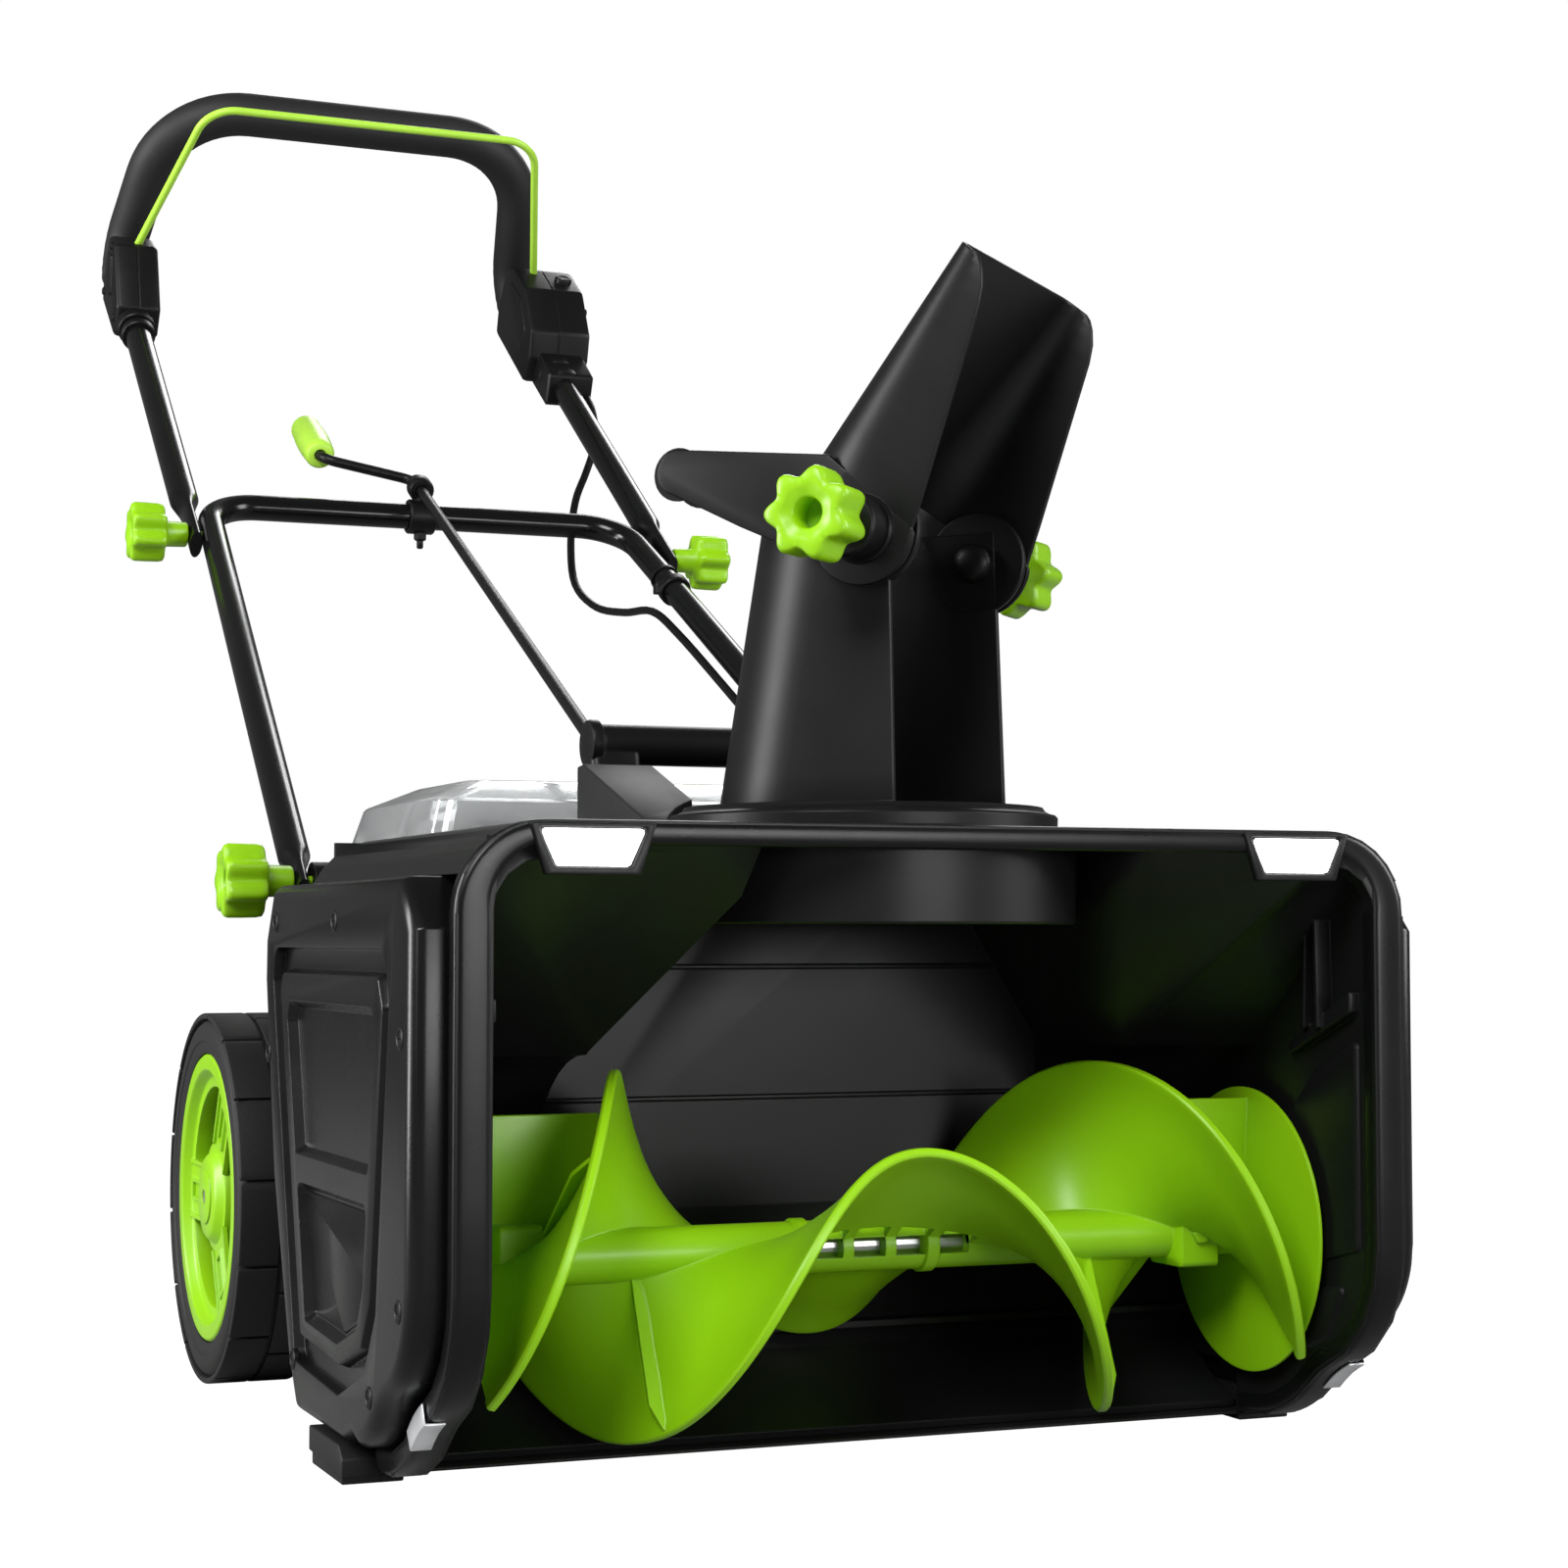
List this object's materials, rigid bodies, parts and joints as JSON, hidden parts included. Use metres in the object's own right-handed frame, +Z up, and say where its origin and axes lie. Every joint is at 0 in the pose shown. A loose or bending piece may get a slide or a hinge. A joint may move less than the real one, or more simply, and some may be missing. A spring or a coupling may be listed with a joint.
{
  "type": "snow blower",
  "caption": "Walk-behind battery snow blower with a paddle auger, cranked discharge chute, clear battery lid and folding tube handle.",
  "frame": {"origin": "centre of the machine's footprint, on the ground", "axes": "-Y is the working direction (the auger's mouth), +Z is up, +X is to the left of a user behind the handle looking forward along -Y"},
  "size_m": [0.5, 1.2942, 0.9422],
  "materials": {
    "belt_rubber": "black belt rubber",
    "black_gloss": "near-black gloss moulding",
    "black_satin": "satin black moulding",
    "black_textured": "grained black moulding",
    "board_green": "circuit board",
    "clear_plastic": "clear plastic",
    "foam": "closed-cell foam",
    "lamp_white": "white lamp lens",
    "lime_green": "lime green moulding",
    "pale_green": "pale lime moulding",
    "silver": "satin silver",
    "steel": "bright steel",
    "tube_paint": "gloss black powder coat",
    "tyre_rubber": "moulded black tyre"
  },
  "bodies": {
    "root": {"auger_housing": "black_gloss", "scraper_bar": "black_textured", "side_cover_left": "black_satin", "side_cover_right": "black_satin", "corner_clip_left": "silver", "corner_clip_right": "silver", "lamp_lens_left": "lamp_white", "lamp_lens_right": "lamp_white", "auger_bearing_left": "steel", "auger_bearing_right": "steel", "drive_belt": "belt_rubber", "motor_can": "steel", "wheel_axle": "steel", "rear_housing": "black_satin", "battery_cradle": "black_satin", "battery_pack_left": "black_satin", "battery_pack_right": "black_satin", "lid_pin": "steel", "control_board": "board_green", "worm_housing": "black_satin", "carry_handle": "black_satin", "lower_handle": "tube_paint", "crank_eyelet": "black_satin", "cable_clip": "black_satin", "cable_gland": "black_satin", "handle_cable": "black_satin"},
    "auger": {"auger": "lime_green", "auger_shaft": "steel", "auger_pulley": "black_satin"},
    "motor_rotor": {"motor_rotor": "steel", "motor_pulley": "black_satin"},
    "wheel_left": {"tyre_left": "tyre_rubber", "wheel_hub_left": "lime_green"},
    "wheel_right": {"tyre_right": "tyre_rubber", "wheel_hub_right": "lime_green"},
    "chute": {"chute": "black_satin", "chute_nut_left": "steel", "chute_nut_right": "steel"},
    "deflector": {"deflector": "black_satin"},
    "chute_knob_left": {"chute_knob_left": "lime_green"},
    "chute_knob_right": {"chute_knob_right": "lime_green"},
    "crank": {"crank": "tube_paint"},
    "crank_grip": {"crank_grip": "pale_green"},
    "worm": {"worm": "steel"},
    "battery_lid": {"battery_lid": "clear_plastic"},
    "upper_handle": {"upper_handle": "tube_paint", "foam_grip": "foam", "switch_box": "black_satin", "pivot_box": "black_satin"},
    "bail": {"bail": "pale_green"},
    "lock_button": {"lock_button": "pale_green"},
    "fold_knob_left": {"fold_knob_left": "lime_green"},
    "fold_knob_right": {"fold_knob_right": "lime_green"},
    "foot_knob_left": {"foot_knob_left": "lime_green"},
    "foot_knob_right": {"foot_knob_right": "lime_green"}
  },
  "joints": [
    {"name": "auger_spin", "type": "hinge", "parent": "root", "child": "auger", "pos_m": [0, -0.5206, 0.1006], "axis": [1, 0, 0], "continuous": true},
    {"name": "motor_spin", "type": "hinge", "parent": "root", "child": "motor_rotor", "pos_m": [0, -0.3877, 0.15], "axis": [1, 0, 0], "continuous": true},
    {"name": "wheel_spin_left", "type": "hinge", "parent": "root", "child": "wheel_left", "pos_m": [-0.227, -0.1702, 0.1028], "axis": [1, 0, 0], "continuous": true},
    {"name": "wheel_spin_right", "type": "hinge", "parent": "root", "child": "wheel_right", "pos_m": [0.227, -0.1702, 0.1028], "axis": [1, 0, 0], "continuous": true},
    {"name": "chute_turn", "type": "hinge", "parent": "root", "child": "chute", "pos_m": [0, -0.5206, 0.302], "axis": [0, 0, 1], "range_deg": [-131.8, 48.2]},
    {"name": "deflector_tilt", "type": "hinge", "parent": "chute", "child": "deflector", "pos_m": [0.022, -0.5452, 0.435], "axis": [0.7455, 0.6665, 0], "range_deg": [-15, 40]},
    {"name": "chute_knob_turn_left", "type": "hinge", "parent": "chute", "child": "chute_knob_left", "pos_m": [-0.04771, -0.60752, 0.435], "axis": [-0.7455, -0.6665, 0], "range_deg": [0, 540]},
    {"name": "chute_knob_turn_right", "type": "hinge", "parent": "chute", "child": "chute_knob_right", "pos_m": [0.0917, -0.48288, 0.435], "axis": [0.7455, 0.6665, 0], "range_deg": [0, 540]},
    {"name": "crank_turn", "type": "hinge", "parent": "root", "child": "crank", "pos_m": [0, 0.3068, 0.586], "axis": [0.0933, 0.9284, 0.3596], "range_deg": [-1590, 590]},
    {"name": "grip_spin", "type": "hinge", "parent": "crank", "child": "crank_grip", "pos_m": [-0.0686, 0.33495, 0.60898], "axis": [0.0933, 0.9284, 0.3596], "continuous": true},
    {"name": "worm_turn", "type": "hinge", "parent": "root", "child": "worm", "pos_m": [-0.09185, -0.50664, 0.278], "axis": [0.1419, 0.9339, 0.328], "range_deg": [-1590, 590]},
    {"name": "lid_open", "type": "hinge", "parent": "root", "child": "battery_lid", "pos_m": [0, -0.3002, 0.2943], "axis": [1, 0, 0], "range_deg": [0, 22]},
    {"name": "handle_fold", "type": "hinge", "parent": "root", "child": "upper_handle", "pos_m": [0, 0.25709, 0.53485], "axis": [1, 0, 0], "range_deg": [0, 125], "deforming": ["handle_cable"]},
    {"name": "bail_squeeze", "type": "hinge", "parent": "upper_handle", "child": "bail", "pos_m": [0, 0.5778, 0.809], "axis": [-1, 0, 0], "range_deg": [0, 24], "stiffness_Nm_per_rad": 1.2, "springref_deg": -14.32},
    {"name": "lock_press", "type": "slide", "parent": "upper_handle", "child": "lock_button", "axis": [0, 0.5841, -0.8117], "range_m": [0, 0.003], "stiffness_N_per_m": 600, "springref_m": -0.002},
    {"name": "fold_knob_turn_left", "type": "hinge", "parent": "upper_handle", "child": "fold_knob_left", "pos_m": [-0.1853, 0.25709, 0.53485], "axis": [-1, 0, 0], "range_deg": [0, 540]},
    {"name": "foot_knob_turn_left", "type": "hinge", "parent": "root", "child": "foot_knob_left", "pos_m": [-0.2014, -0.1702, 0.28], "axis": [-1, 0, 0], "range_deg": [0, 540]},
    {"name": "fold_knob_turn_right", "type": "hinge", "parent": "upper_handle", "child": "fold_knob_right", "pos_m": [0.1853, 0.25709, 0.53485], "axis": [1, 0, 0], "range_deg": [0, 540]},
    {"name": "foot_knob_turn_right", "type": "hinge", "parent": "root", "child": "foot_knob_right", "pos_m": [0.2014, -0.1702, 0.28], "axis": [1, 0, 0], "range_deg": [0, 540]}
  ],
  "couplings": [
    {"joint": "motor_spin", "follows": "auger_spin", "ratio": 3},
    {"joint": "crank_turn", "follows": "chute_turn", "ratio": 12},
    {"joint": "worm_turn", "follows": "chute_turn", "ratio": 12}
  ]
}
